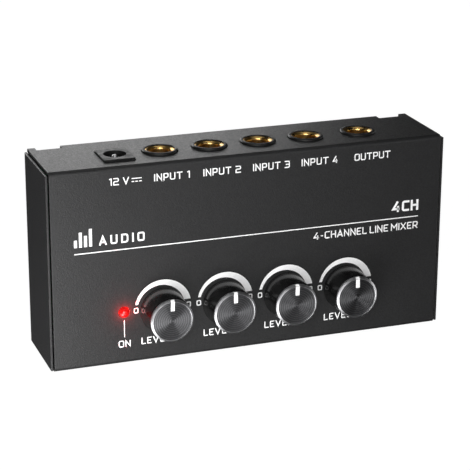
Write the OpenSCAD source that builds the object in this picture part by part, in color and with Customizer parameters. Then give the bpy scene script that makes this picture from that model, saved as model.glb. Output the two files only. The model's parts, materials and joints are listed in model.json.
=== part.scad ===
// Small line mixer: four inputs, one output, in a folded sheet steel case.
//
// Frame: X runs along the case, Y from the control panel to the rear, Z up.
// The origin is the centre of the face that the case stands on.
// Knobs turn about Y. Plugs go in along -Z through the top of the case.

/* [Case] */
// Length of the case over both end panels
case_w = 120; // [119:0.5:126]
// Height of the case
case_h = 59; // [58:0.5:64]
// Depth of the case without knobs and feet
case_d = 25.4; // [25:0.1:28]
// Sheet thickness of the front shell
shell_wall = 1.0; // [0.8:0.1:1.1]
// Sheet thickness of the rear cover
cover_wall = 0.6; // [0.5:0.1:0.8]
// Outer radius of the front shell's folds
fold_r = 1.2; // [1.2:0.1:1.6]
// Gap between the front shell's ends and the end panels
end_gap = 0.4; // [0.3:0.05:0.5]
// Length of the relief notches in the front shell's rear edges
notch_w = 7.4; // [5:0.1:8]
// Depth of the relief notches
notch_d = 2.4; // [1.5:0.1:3]
// Length of the tab between each notch and the shell's end
notch_tab = 2.2; // [1.5:0.1:3]

/* [Sockets] */
// Centre of the first input socket along the case
first_input_x = -23.8; // [-24.5:0.1:-23]
// Distance between input sockets
input_pitch = 14.85; // [14.5:0.05:15]
// Centre of the output socket along the case
output_x = 37.2; // [37:0.1:39]
// Distance from the control panel to the socket axes
socket_depth = 11.4; // [11.2:0.1:12]
// Bore radius of a socket for a 6.35 mm plug
socket_r = 3.2; // [3.2:0.01:3.25]
// Outer radius of the collar that comes through the case
collar_r = 5.2; // [4.9:0.1:5.3]
// Height of the collar above the case
collar_rise = 0.65; // [0.5:0.05:1]
// Centre of the power inlet along the case
inlet_x = -37.3; // [-38:0.1:-36.5]
// Distance from the control panel to the power inlet's axis
inlet_depth = 10.55; // [10.4:0.05:11.4]
// Radius of the power inlet's centre pin
inlet_pin_r = 1.0; // [0.95:0.05:1.05]
// Radius of the power inlet's hole
inlet_hole_r = 3.3; // [3.2:0.05:3.4]

/* [Controls] */
// Centre of the first level control along the case
first_level_x = -27; // [-27.5:0.1:-26]
// Distance between level controls
level_pitch = 18.8; // [18.4:0.1:19]
// Height of the level controls
control_z = 15.2; // [15:0.1:16]
// Radius of a control shaft
shaft_r = 3.0; // [2.95:0.05:3]
// Radius of a knob at its base
knob_base_r = 6.7; // [6.5:0.1:7]
// Radius of a knob's face
knob_face_r = 6.2; // [6:0.1:6.4]
// Distance from the control panel to a knob's face
knob_reach = 9.9; // [9.5:0.1:12]
// Width of a knob's pointer
pointer_w = 1.15; // [0.8:0.05:1.5]
// Length of a knob's pointer
pointer_len = 3.1; // [2:0.1:3.5]
// Centre of the power lamp along the case
lamp_x = -38.4; // [-38.5:0.1:-37.5]
// Height of the power lamp
lamp_z = 15.8; // [15.5:0.1:16.5]
// Radius of the power lamp's lens
lamp_r = 1.5; // [1.5:0.1:1.6]

/* [Rear] */
// Height of the rubber feet
foot_h = 3.0; // [2.5:0.1:5]
// Radius of the rubber feet
foot_r = 4.5; // [3.5:0.1:4.6]
// Distance between screws along the case
screw_span_x = 106; // [104:0.5:106]
// Distance between screws up the case
screw_span_z = 45; // [44:0.5:46]

/* [Hidden] */
$fn = 64;
HEX = 6;
CUT = 1;                        // overshoot of a cutting solid past a face
INPUTS = 4;

front_y = -case_d / 2;
back_y = case_d / 2;
shell_w = case_w - 2 * (cover_wall + end_gap);
shell_in_y = front_y + shell_wall;
shell_top_in = case_h - shell_wall;
cover_in_y = back_y - cover_wall;

// end panels of the rear cover, a little short of the folds they cover
end_front_gap = 0.3;
end_low = 0.5;
end_short = 0.9;
plate_gap = 0.3;
cover_fold_r = 1.0;

// board and what holds it
socket_y = front_y + socket_depth;
board_lift = 6.4;               // socket axis to the board's face
board_t = 1.6;
board_y = socket_y + board_lift;
board_back = board_y + board_t;
board_w = 114;
board_low = 3;
board_high = 56.5;
screw_mid_z = 29.5;
screw_r = 1.5;
screw_hole_r = 1.6;
thread_bore_r = 1.52;
pillar_across = 5.5;
thread_depth = 10;
screw_bite = 8;                 // length of screw inside the pillar
pin_proud = 1.0;                // pins past the back of the board
pin_hole_r = 0.65;

// sockets for 6.35 mm plugs; heights count from the top of the case
sleeve_r = 4.3;
sleeve_fit = 0.02;
sleeve_low = -10.9;
sleeve_high = 0.35;
sleeve_lip_r = 0.85;
jack_w = 13;
jack_front = 6.0;
jack_top = -1.3;
jack_len = 31;
jack_wall = 1.1;
chamber_front = 4.2;
leaf_t = 0.4;
leaf_w = 3.0;
leaf_gap = 0.1;
leaf_high = -14;
leaf_out = jack_w / 2 - jack_wall - leaf_gap;
jack_pin_x = leaf_out - leaf_t / 2;
pin_half = 0.5;
slot_gap = 0.1;                 // round a contact where it leaves its housing
jack_pin_z = -15.5;
ring_pin_z = -18.5;
tab_z = -11.15;
tab_in = 3.4;
tab_half_w = 1.5;
tab_half_t = 0.2;

// power inlet; heights count from the top of the case
inlet_w = 9.0;
inlet_half_d = 5.3;
inlet_rise = 0.6;
inlet_len = 14;
inlet_floor = -9.5;
inlet_pin_top = -0.55;
inlet_y = front_y + inlet_depth;
inlet_lift = board_y - inlet_y;
inlet_leaf_y = 3.0;
inlet_leaf_t = 0.3;
inlet_leaf_top = -2;
inlet_spring_z = inlet_floor + 1;
inlet_tail_z = -13.6;
tail_half_w = 1.0;
tail_half_t = 0.2;
rivet_r = 1.5;
window_gap = 0.15;

// level controls; lengths count along Y
pot_half_w = 4.8;
pot_half_h = 5.0;
pot_len = 7.0;
pot_front_y = board_y - pot_len;
bush_r = 3.4;
bush_len = 6.5;
pot_chamber_r = 4.3;
pot_front_wall = 1.0;
shaft_clear = 0.05;
rotor_r = 4.0;
rotor_gap = 0.3;
rotor_t = 1.4;
track_t = 1.5;
track_y = board_y - 1.0 - track_t;
pot_pin_r = 0.4;
pot_pin_step = 2.5;
panel_hole_r = 3.8;

// knobs; heights count from the base of the knob towards its face
knob_gap = 0.3;
knob_y = front_y - knob_gap;
knob_len = knob_reach - knob_gap;
cap_t = 1.1;
body_len = knob_len - cap_t;
skirt_wall = 1.0;
skirt_depth = 6.3;
hub_r = 4.4;
hub_low = 0.8;
bore_clear = 0.03;
flat_offset = 1.5;              // shaft axis to the flat
bore_depth = 7.0;
spigot_r = 5.0;
spigot_t = 0.5;
cap_chamfer = 0.5;
cap_groove = 0.1;
pointer_t = 0.5;
base_lip = 0.5;

// lamp
lamp_hole_r = 1.65;
lamp_flange_r = 1.75;
lamp_flange_t = 1.0;
lamp_out = 1.6;                 // dome tip past the panel
lamp_pin_r = 0.25;
lamp_pin_x = 1.27;
lamp_flange_y = shell_in_y + 0.6;
lamp_tube_r = 2.2;

function input_x(i) = first_input_x + (i - 1) * input_pitch;
function level_x(i) = first_level_x + (i - 1) * level_pitch;
socket_xs = concat([for (i = [1:INPUTS]) input_x(i)], [output_x]);
screw_xs = [-screw_span_x / 2, screw_span_x / 2];
screw_zs = [screw_mid_z - screw_span_z / 2, screw_mid_z + screw_span_z / 2];

socket_names = concat([for (i = [1:INPUTS]) str("input_jack_", i)], ["output_jack"]);
level_names = [for (i = [1:INPUTS]) str("level_pot_", i)];
knob_names = [for (i = [1:INPUTS]) str("level_knob_", i)];

// ---------- helpers ----------

// children drawn along +Z point to the rear, or to the front
module to_rear(x, y, z) translate([x, y, z]) rotate([-90, 0, 0]) children();
module to_front(x, y, z) translate([x, y, z]) rotate([90, 0, 0]) children();

// a box from its lowest to its highest corner
module box(low, high) translate(low) cube(high - low);

module at_screws() {
    for (x = screw_xs)
        for (z = screw_zs)
            translate([x, 0, z]) children();
}

module at_top(x) translate([x, socket_y, case_h]) children();
module at_inlet() translate([inlet_x, inlet_y, case_h]) children();

// rectangle whose two corners at x = 0 are rounded
module folded_outline(d, h, r) {
    translate([r, 0]) square([d - r, h]);
    translate([0, r]) square([d, h - 2 * r]);
    translate([r, r]) circle(r);
    translate([r, h - r]) circle(r);
}

// ---------- case ----------

module shell_sheet() {
    inner_r = fold_r - shell_wall;
    translate([-shell_w / 2, front_y, 0])
        rotate([90, 0, 90])
        linear_extrude(shell_w)
        difference() {
            folded_outline(case_d, case_h, fold_r);
            translate([shell_wall, shell_wall])
                folded_outline(case_d, case_h - 2 * shell_wall, inner_r);
        }
}

module shell_notches() {
    far = shell_w / 2 - notch_tab;
    for (side = [0, 1])
        mirror([side, 0, 0])
            translate([far - notch_w, back_y - notch_d, -CUT])
            cube([notch_w, notch_d + CUT, case_h + 2 * CUT]);
}

module front_shell() color([0.17, 0.17, 0.18]) difference() {
    shell_sheet();
    shell_notches();
    for (i = [1:INPUTS])
        to_rear(level_x(i), front_y - CUT, control_z)
            cylinder(r = panel_hole_r, h = shell_wall + 2 * CUT);
    to_rear(lamp_x, front_y - CUT, lamp_z)
        cylinder(r = lamp_hole_r, h = shell_wall + 2 * CUT);
    for (x = socket_xs)
        at_top(x) translate([0, 0, -shell_wall - CUT])
            cylinder(r = collar_r + window_gap, h = shell_wall + 2 * CUT);
    at_inlet()
        box([-inlet_w / 2 - window_gap, -inlet_half_d - window_gap, -shell_wall - CUT],
            [inlet_w / 2 + window_gap, inlet_half_d + window_gap, CUT]);
}

// sheet folded round both rear upright edges, seen from above
module cover_outline() {
    depth = case_d - end_front_gap;
    inner_r = cover_fold_r - cover_wall;
    translate([-case_w / 2, back_y])
        rotate(-90)
        difference() {
            folded_outline(depth, case_w, cover_fold_r);
            translate([cover_wall, cover_wall])
                folded_outline(depth, case_w - 2 * cover_wall, inner_r);
        }
}

module rear_cover() color([0.15, 0.15, 0.16]) difference() {
    intersection() {
        translate([0, 0, end_low]) linear_extrude(case_h - end_short - end_low) cover_outline();
        union() {
            for (side = [0, 1])
                mirror([side, 0, 0])
                    box([shell_w / 2 + end_gap / 2, front_y, 0], [case_w, case_d, case_h]);
            box([-case_w, front_y, shell_wall + plate_gap],
                [case_w, case_d, shell_top_in - plate_gap]);
        }
    }
    at_screws() to_rear(0, cover_in_y - CUT, 0)
        cylinder(r = screw_hole_r + 0.1, h = cover_wall + 2 * CUT);
}

module rubber_feet() color([0.05, 0.05, 0.05]) {
    foot_x = screw_span_x / 2 - 8.5;
    foot_z = screw_span_z / 2 - 2;
    edge_r = 0.8;
    for (x = [-foot_x, foot_x])
        for (z = [screw_mid_z - foot_z, screw_mid_z + foot_z])
            to_rear(x, back_y, z) rotate_extrude() {
                square([foot_r, foot_h - edge_r]);
                square([foot_r - edge_r, foot_h]);
                translate([foot_r - edge_r, foot_h - edge_r]) circle(edge_r);
            }
}

module cover_screws() color([0.25, 0.25, 0.26]) {
    head_r = 2.75;
    head_h = 1.9;
    crown = 1.2;
    recess_depth = 1.1;
    recess_len = 3;
    recess_w = 0.6;
    length = back_y - board_y + screw_bite;
    at_screws() difference() {
        union() {
            to_rear(0, back_y - length, 0) cylinder(r = screw_r, h = length);
            to_rear(0, back_y, 0) rotate_extrude() {
                square([head_r, head_h - crown]);
                square([head_r - crown, head_h]);
                intersection() {
                    translate([head_r - crown, head_h - crown]) circle(crown);
                    square([head_r, head_h]);
                }
            }
        }
        // cross recess
        for (turn = [45, 135])
            to_rear(0, back_y + head_h - recess_depth, 0) rotate(turn)
                translate([-recess_len / 2, -recess_w / 2, 0])
                cube([recess_len, recess_w, recess_depth + CUT]);
    }
}

module front_pillars() color([0.75, 0.75, 0.72]) {
    length = board_y - shell_in_y;
    corner_r = pillar_across / sqrt(3);
    at_screws() difference() {
        to_rear(0, shell_in_y, 0) cylinder(r = corner_r, h = length, $fn = HEX);
        to_rear(0, board_y - thread_depth, 0)
            cylinder(r = thread_bore_r, h = thread_depth + CUT);
    }
}

module board_spacers() color([0.75, 0.75, 0.72]) {
    length = cover_in_y - board_back;
    at_screws() to_rear(0, board_back, 0) difference() {
        cylinder(r = pillar_across / 2, h = length);
        translate([0, 0, -CUT]) cylinder(r = screw_hole_r, h = length + 2 * CUT);
    }
}

// ---------- board ----------

module board_hole(x, z, r) {
    to_rear(x, board_y - CUT, z) cylinder(r = r, h = board_t + 2 * CUT);
}

module circuit_board() color([0.05, 0.3, 0.14]) difference() {
    box([-board_w / 2, board_y, board_low], [board_w / 2, board_back, board_high]);
    for (x = screw_xs)
        for (z = screw_zs)
            board_hole(x, z, screw_hole_r);
    for (x = socket_xs) {
        board_hole(x + jack_pin_x, case_h + jack_pin_z, pin_hole_r);
        board_hole(x - jack_pin_x, case_h + ring_pin_z, pin_hole_r);
        board_hole(x, case_h + tab_z, pin_hole_r);
    }
    board_hole(inlet_x, case_h + inlet_spring_z, pin_hole_r);
    board_hole(inlet_x, case_h + inlet_tail_z, pin_hole_r);
    for (i = [1:INPUTS])
        for (step = [-1, 0, 1])
            board_hole(level_x(i) + step * pot_pin_step, control_z - pot_pin_step, pin_hole_r);
    for (side = [-1, 1])
        board_hole(lamp_x + side * lamp_pin_x, lamp_z, pin_hole_r);
}

// ---------- sockets ----------

module jack_body(x) color([0.06, 0.06, 0.06]) at_top(x) difference() {
    edge_r = 0.45;
    overlap = 1;                // collar into the housing below it
    union() {
        rotate_extrude() {
            translate([0, jack_top - overlap])
                square([collar_r, collar_rise - jack_top + overlap - edge_r]);
            translate([0, jack_top - overlap])
                square([collar_r - edge_r, collar_rise - jack_top + overlap]);
            translate([collar_r - edge_r, collar_rise - edge_r]) circle(edge_r);
        }
        box([-jack_w / 2, -jack_front, jack_top - jack_len], [jack_w / 2, board_lift, jack_top]);
    }
    // seat of the sleeve
    translate([0, 0, sleeve_low])
        cylinder(r = sleeve_r + sleeve_fit, h = collar_rise - sleeve_low + CUT);
    // chamber that the plug's tip reaches
    box([-jack_w / 2 + jack_wall, -chamber_front, jack_top - jack_len + jack_wall],
        [jack_w / 2 - jack_wall, chamber_front, sleeve_low]);
    // slots that the contact pins leave through
    for (side = [-1, 1])
        translate([side * jack_pin_x, 0, side > 0 ? jack_pin_z : ring_pin_z])
            box([-leaf_t / 2 - slot_gap, 0, -pin_half - slot_gap],
                [leaf_t / 2 + slot_gap, board_lift + CUT, pin_half + slot_gap]);
    box([-tab_half_w - slot_gap, 0, tab_z - tab_half_t - slot_gap],
        [tab_half_w + slot_gap, board_lift + CUT, sleeve_low + slot_gap / 2]);
}

module jack_sleeve(x) color([0.83, 0.62, 0.25]) at_top(x) rotate_extrude() difference() {
    translate([socket_r, sleeve_low]) square([sleeve_r - socket_r, sleeve_high - sleeve_low]);
    // rounded mouth
    difference() {
        translate([socket_r, sleeve_high - sleeve_lip_r]) square([sleeve_lip_r, sleeve_lip_r]);
        translate([socket_r + sleeve_lip_r, sleeve_high - sleeve_lip_r]) circle(sleeve_lip_r);
    }
}

// side view of a spring contact, bent in towards the socket's axis
module leaf_outline(bend_z) {
    bend_in = 2.6;
    bend_len = 3.5;
    toe_in = leaf_out - 0.9;
    toe_z = bend_z - 3.3;
    polygon([
        [leaf_out, leaf_high], [leaf_out - leaf_t, leaf_high],
        [leaf_out - leaf_t, bend_z + bend_len], [bend_in, bend_z], [toe_in, toe_z],
        [toe_in + leaf_t, toe_z], [bend_in + 1.4 * leaf_t, bend_z], [leaf_out, bend_z + bend_len]
    ]);
}

// spring and the pin that carries it through the board
module contact(bend_z, pin_z) {
    pin_end = board_lift + board_t + pin_proud;
    rotate([90, 0, 0])
        translate([0, 0, -leaf_w / 2])
        linear_extrude(leaf_w) leaf_outline(bend_z);
    box([leaf_out - leaf_t, leaf_w / 2, pin_z - pin_half], [leaf_out, pin_end, pin_z + pin_half]);
}

module jack_contacts(x) color([0.8, 0.68, 0.4]) at_top(x) {
    tip_z = -27.5;
    ring_z = -21.5;
    tab_out = board_lift - 0.4;
    contact(tip_z, jack_pin_z);
    mirror([1, 0, 0]) contact(ring_z, ring_pin_z);
    // earth tab under the sleeve
    box([-tab_half_w, tab_in, tab_z - tab_half_t], [tab_half_w, tab_out, tab_z + tab_half_t]);
    box([-pin_half, tab_out, tab_z - tab_half_t],
        [pin_half, board_lift + board_t + pin_proud, tab_z + tab_half_t]);
}

// ---------- power inlet ----------

module power_jack_body() color([0.07, 0.07, 0.08]) at_inlet() difference() {
    spring_slot = inlet_leaf_y + 2 * inlet_leaf_t;
    union() {
        box([-inlet_w / 2, -inlet_half_d, -inlet_len], [inlet_w / 2, inlet_half_d, inlet_rise]);
        box([-inlet_w / 2, 0, -inlet_len], [inlet_w / 2, inlet_lift, jack_top]);
    }
    translate([0, 0, inlet_floor])
        cylinder(r = inlet_hole_r, h = inlet_rise - inlet_floor + CUT);
    // recess and slot of the spring contact
    box([-tail_half_w - 2 * slot_gap, 0, inlet_floor],
        [tail_half_w + 2 * slot_gap, spring_slot, inlet_leaf_top + 4 * slot_gap]);
    box([-pin_half - slot_gap, 0, inlet_spring_z - pin_half - slot_gap],
        [pin_half + slot_gap, inlet_lift + CUT, inlet_spring_z + pin_half + slot_gap]);
    // seat of the centre pin and slot of its tail
    translate([0, 0, -inlet_len - CUT])
        cylinder(r = rivet_r + sleeve_fit, h = inlet_len + inlet_floor + 2 * CUT);
    box([-tail_half_w - slot_gap, 0, -inlet_len - CUT],
        [tail_half_w + slot_gap, inlet_lift + CUT, inlet_tail_z + tail_half_t + slot_gap / 2]);
}

module power_jack_pin() color([0.8, 0.8, 0.8]) at_inlet() {
    rivet_low = inlet_tail_z + tail_half_t;
    // rivet under the floor
    translate([0, 0, rivet_low]) cylinder(r = rivet_r, h = inlet_floor - rivet_low);
    translate([0, 0, inlet_floor])
        cylinder(r = inlet_pin_r, h = inlet_pin_top - inlet_floor);
    translate([0, 0, inlet_pin_top]) difference() {
        sphere(inlet_pin_r);
        translate([0, 0, -inlet_pin_r]) cube(2 * inlet_pin_r, center = true);
    }
}

module power_jack_contacts() color([0.8, 0.8, 0.78]) at_inlet() {
    pin_end = inlet_lift + board_t + pin_proud;
    tail_out = inlet_lift - 0.4;
    leaf_back = inlet_leaf_y + inlet_leaf_t;
    box([-tail_half_w, inlet_leaf_y, inlet_floor + 2 * slot_gap],
        [tail_half_w, leaf_back, inlet_leaf_top]);
    box([-pin_half, leaf_back, inlet_spring_z - tail_half_t],
        [pin_half, pin_end, inlet_spring_z + tail_half_t]);
    // tail of the centre pin
    box([-tail_half_w, -tail_half_w, inlet_tail_z - tail_half_t],
        [tail_half_w, tail_out, inlet_tail_z + tail_half_t]);
    box([-pin_half, tail_out, inlet_tail_z - tail_half_t],
        [pin_half, pin_end, inlet_tail_z + tail_half_t]);
}

// ---------- level controls ----------

module level_pot_case(x) color([0.6, 0.6, 0.6]) difference() {
    union() {
        box([x - pot_half_w, pot_front_y, control_z - pot_half_h],
            [x + pot_half_w, board_y, control_z + pot_half_h]);
        to_front(x, pot_front_y, control_z) cylinder(r = bush_r, h = bush_len);
    }
    to_rear(x, pot_front_y - bush_len - CUT, control_z)
        cylinder(r = shaft_r + shaft_clear, h = bush_len + pot_front_wall + 2 * CUT);
    to_rear(x, pot_front_y + pot_front_wall, control_z)
        cylinder(r = pot_chamber_r, h = pot_len);
}

module level_pot_track(x) color([0.3, 0.17, 0.08]) {
    to_rear(x, track_y, control_z) cylinder(r = pot_chamber_r - 0.02, h = track_t);
    for (step = [-1, 0, 1])
        to_rear(x + step * pot_pin_step, track_y + track_t, control_z - pot_pin_step)
            cylinder(r = pot_pin_r, h = board_back + pin_proud - track_y - track_t);
}

// round bar with a flat on its lower side, drawn along +Z
module flatted(r, h, flat) {
    intersection() {
        cylinder(r = r, h = h);
        translate([-r, -flat, 0]) cube([2 * r, r + flat, h]);
    }
}

module level_pot_shaft(x) color([0.75, 0.75, 0.75]) {
    rotor_y = pot_front_y + pot_front_wall + rotor_gap;
    flat_y = front_y - 0.2;
    flat_len = bore_depth - 0.2;
    wiper_half_w = 0.6;
    wiper_low = 1.8;
    wiper_high = 3.2;
    // bar from the rotor to the panel, then the flatted end in the knob
    to_rear(x, flat_y, control_z) cylinder(r = shaft_r, h = rotor_y - flat_y);
    to_front(x, flat_y, control_z) flatted(shaft_r, flat_len, flat_offset);
    to_rear(x, rotor_y, control_z) cylinder(r = rotor_r, h = rotor_t);
    // wiper
    box([x - wiper_half_w, rotor_y + rotor_t, control_z + wiper_low],
        [x + wiper_half_w, track_y - 0.1, control_z + wiper_high]);
}

module knob_body(x) color([0.03, 0.03, 0.03]) to_front(x, knob_y, control_z) difference() {
    rotate_extrude() difference() {
        polygon([
            [0, 0], [knob_base_r - 0.15, 0], [knob_base_r, 0.15], [knob_base_r, base_lip],
            [knob_base_r - 0.1, base_lip + 0.15], [knob_face_r, body_len], [0, body_len]
        ]);
        // skirt and hub
        translate([0, -CUT]) square([knob_base_r - skirt_wall, hub_low + CUT]);
        translate([hub_r, -CUT]) square([knob_base_r - skirt_wall - hub_r, skirt_depth + CUT]);
        translate([0, body_len - spigot_t]) square([spigot_r + bore_clear, spigot_t + CUT]);
    }
    translate([0, 0, -CUT])
        flatted(shaft_r + bore_clear, bore_depth + CUT, flat_offset + bore_clear);
}

// solid of the metal cap, before the pointer's slot
module cap_blank() rotate_extrude() {
    translate([0, -spigot_t]) square([spigot_r, spigot_t]);
    polygon([
        [0, 0], [knob_face_r, 0], [knob_face_r, cap_t - cap_chamfer],
        [knob_face_r - cap_chamfer, cap_t], [knob_face_r - cap_chamfer - 0.1, cap_t],
        [knob_face_r - cap_chamfer - 0.2, cap_t - cap_groove], [0, cap_t - cap_groove]
    ]);
}

module pointer_slot() {
    low = cap_t - pointer_t;
    translate([-pointer_w / 2, knob_face_r - pointer_len, low])
        cube([pointer_w, pointer_len + CUT, cap_t]);
}

module at_cap(x) to_front(x, knob_y - body_len, control_z) children();

module knob_cap(x) color([0.45, 0.45, 0.47]) at_cap(x) difference() {
    cap_blank();
    pointer_slot();
}

module knob_pointer(x) color([0.95, 0.95, 0.95]) at_cap(x) intersection() {
    cap_blank();
    pointer_slot();
}

// ---------- lamp ----------

module power_led() color([0.9, 0.05, 0.05]) {
    barrel = lamp_flange_y - front_y + lamp_out - lamp_r;
    to_front(lamp_x, lamp_flange_y, lamp_z) {
        cylinder(r = lamp_r, h = barrel);
        translate([0, 0, barrel]) difference() {
            sphere(lamp_r);
            translate([0, 0, -lamp_r]) cube(2 * lamp_r, center = true);
        }
    }
    to_rear(lamp_x, lamp_flange_y, lamp_z) cylinder(r = lamp_flange_r, h = lamp_flange_t);
}

module led_leads() color([0.8, 0.8, 0.8]) {
    low = lamp_flange_y + lamp_flange_t;
    for (side = [-1, 1])
        to_rear(lamp_x + side * lamp_pin_x, low, lamp_z)
            cylinder(r = lamp_pin_r, h = board_back + pin_proud - low);
}

module led_spacer() color([0.9, 0.9, 0.88]) {
    low = lamp_flange_y + lamp_flange_t;
    to_rear(lamp_x, low, lamp_z) difference() {
        cylinder(r = lamp_tube_r, h = board_y - low);
        for (side = [-1, 1])
            translate([side * lamp_pin_x, 0, -CUT])
                cylinder(r = lamp_pin_r + 0.1, h = board_y - low + 2 * CUT);
    }
}

// ---------- components on the board ----------

// eight-pin package standing on its leads, long side up the board
module chip(x) {
    body_w = 6.35;
    body_l = 9.8;
    body_t = 3.3;
    stand = 0.5;
    lead_half_w = 0.25;
    lead_half_t = 0.15;
    shoulder = 0.6;
    lead_x = 3.81;
    lead_pitch = 2.54;
    dimple_r = 0.8;
    dimple_floor = 0.4;
    low = board_y - stand;
    lead_y = low - body_t / 2;
    difference() {
        box([x - body_w / 2, low - body_t, control_z - body_l / 2],
            [x + body_w / 2, low, control_z + body_l / 2]);
        to_front(x, low - body_t + dimple_floor, control_z + body_l / 2)
            cylinder(r = dimple_r, h = dimple_floor + CUT);
    }
    for (side = [-1, 1])
        for (k = [-1.5:1:1.5]) {
            z = control_z + k * lead_pitch;
            x0 = x + side * body_w / 2;
            x1 = x + side * lead_x;
            box([min(x0, x1), lead_y - lead_half_t, z - shoulder],
                [max(x0, x1), lead_y + lead_half_t, z + shoulder]);
            box([x1 - lead_half_t, lead_y - lead_half_t, z - lead_half_w],
                [x1 + lead_half_t, board_y, z + lead_half_w]);
        }
}

module opamp_chips() color([0.08, 0.08, 0.08]) {
    chip((level_x(1) + level_x(2)) / 2);
    chip((level_x(2) + level_x(3)) / 2);
}

module regulator() color([0.1, 0.1, 0.1]) {
    x = -50;
    z = 21;
    half_w = 5;
    half_t = 1.6;
    stand = 1.2;
    body_h = 8.6;
    tab_h = 5.4;
    tab_low = z + 0.4;
    hole_r = 1.8;
    leg_half_w = 0.4;
    leg_half_t = 0.3;
    leg_pitch = 2.54;
    foot_y = board_y - stand;
    head_y = foot_y - body_h;
    difference() {
        union() {
            box([x - half_w, head_y, z - half_t], [x + half_w, foot_y, z + half_t]);
            box([x - half_w, head_y - tab_h, tab_low], [x + half_w, head_y, z + half_t]);
        }
        translate([x, head_y - tab_h / 2, z]) cylinder(r = hole_r, h = 2 * half_t);
    }
    for (step = [-1, 0, 1])
        box([x + step * leg_pitch - leg_half_w, foot_y, z - leg_half_t],
            [x + step * leg_pitch + leg_half_w, board_y, z + leg_half_t]);
}

// upright can with a pinched groove near its base
module can(x, z, r, h) {
    groove_r = 0.35;
    groove_h = 1.8;
    rim_w = 0.5;
    rim_h = 0.3;
    to_front(x, board_y, z) rotate_extrude() difference() {
        square([r, h]);
        translate([r, groove_h]) circle(groove_r);
        translate([r - rim_w, h - rim_h]) square([CUT, CUT]);
    }
}

module electrolytic_capacitors() color([0.1, 0.12, 0.2]) {
    can(-50, 33, 4, 11.5);
    can(-50, 43, 4, 11.5);
    can(41, 17, 3.15, 11);
    can(49, 17, 3.15, 11);
}

module film_capacitors() color([0.62, 0.1, 0.08]) {
    half_w = 3.6;
    half_t = 1.25;
    height = 6.5;
    row_z = 24;
    for (x = socket_xs)
        box([x - half_w, board_y - height, row_z - half_t],
            [x + half_w, board_y, row_z + half_t]);
}

module resistors() color([0.75, 0.65, 0.45]) {
    count = 11;
    pitch = 8;
    row_z = 6;
    half_body = 1.7;
    body_r = 0.8;
    half_span = 2.8;
    lead_r = 0.28;
    leg_r = 0.22;
    axis_y = board_y - 1.1;
    for (k = [0:count - 1]) {
        x = (k - (count - 1) / 2) * pitch;
        translate([x - half_body, axis_y, row_z]) rotate([0, 90, 0])
            cylinder(r = body_r, h = 2 * half_body);
        translate([x - half_span - lead_r, axis_y, row_z]) rotate([0, 90, 0])
            cylinder(r = lead_r, h = 2 * (half_span + lead_r));
        for (side = [-1, 1])
            to_rear(x + side * half_span, axis_y, row_z) cylinder(r = leg_r, h = board_y - axis_y);
    }
}

// ---------- assembly ----------

front_shell();
rear_cover();
rubber_feet();
cover_screws();
front_pillars();
board_spacers();
circuit_board();
for (i = [0:INPUTS]) {
    jack_body(socket_xs[i]);
    jack_sleeve(socket_xs[i]);
    jack_contacts(socket_xs[i]);
}
power_jack_body();
power_jack_pin();
power_jack_contacts();
for (i = [1:INPUTS]) {
    level_pot_case(level_x(i));
    level_pot_track(level_x(i));
    level_pot_shaft(level_x(i));
    knob_body(level_x(i));
    knob_cap(level_x(i));
    knob_pointer(level_x(i));
}
power_led();
led_leads();
led_spacer();
opamp_chips();
regulator();
electrolytic_capacitors();
film_capacitors();
resistors();
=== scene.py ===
"""Looks of the four-channel line mixer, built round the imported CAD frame."""

import json
import math

import bmesh
import bpy
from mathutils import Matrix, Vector


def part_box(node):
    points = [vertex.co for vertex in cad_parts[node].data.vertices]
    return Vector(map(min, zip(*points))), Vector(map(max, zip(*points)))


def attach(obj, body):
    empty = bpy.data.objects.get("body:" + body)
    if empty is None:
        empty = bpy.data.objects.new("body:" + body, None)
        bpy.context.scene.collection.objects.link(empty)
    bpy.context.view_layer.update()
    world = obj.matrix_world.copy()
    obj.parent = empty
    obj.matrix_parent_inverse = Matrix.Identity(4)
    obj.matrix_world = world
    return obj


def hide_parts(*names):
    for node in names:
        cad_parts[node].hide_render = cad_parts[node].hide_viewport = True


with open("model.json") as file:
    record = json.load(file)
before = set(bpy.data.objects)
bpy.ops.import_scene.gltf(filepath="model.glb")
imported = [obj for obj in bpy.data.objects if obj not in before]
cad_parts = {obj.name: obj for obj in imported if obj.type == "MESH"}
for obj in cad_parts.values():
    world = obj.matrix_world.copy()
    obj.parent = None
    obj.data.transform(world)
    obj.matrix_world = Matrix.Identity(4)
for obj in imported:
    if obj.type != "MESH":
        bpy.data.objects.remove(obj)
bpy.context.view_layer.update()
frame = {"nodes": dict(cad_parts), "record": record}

MM = 0.001
CHANNELS = 4                    # each has an input socket and a level control


def middle(node):
    """Centre of a CAD node's box."""
    low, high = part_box(node)
    return (low + high) / 2


SHELL_LOW, SHELL_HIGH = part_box("front_shell")
PANEL_Y = SHELL_LOW.y
TOP_Z = SHELL_HIGH.z
CENTRE_X = (SHELL_LOW.x + SHELL_HIGH.x) / 2
CENTRE_Z = (SHELL_LOW.z + SHELL_HIGH.z) / 2


# ---------- camera, stage and light ----------

# The camera stands as the photograph's did, left of the case and above it. Angles are in degrees.
CAMERA_AZIMUTH = -19.68
CAMERA_ELEVATION = 19.16
CAMERA_ROLL = 0.22
CAMERA_DISTANCE = 530 * MM
CAMERA_LENS = 137.6
SENSOR_WIDTH = 36
CLIP = (0.01, 20)
AIM = Vector((-0.05, 1.3, 30.05)) * MM

# strength of the world's light, which changes over near the horizon
FLOOR_GLOW = 0.03
CEILING_GLOW = 0.015
HORIZON = 0.1

FLOOR_HALF = 4
FLOOR_DROP = 0.05 * MM
BACKDROP_RADIUS = 6


def direction(azimuth, elevation):
    """Unit vector from the object towards a stand at that azimuth and elevation."""
    a, e = math.radians(azimuth), math.radians(elevation)
    return Vector((math.sin(a) * math.cos(e), -math.cos(a) * math.cos(e), math.sin(e)))


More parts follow.
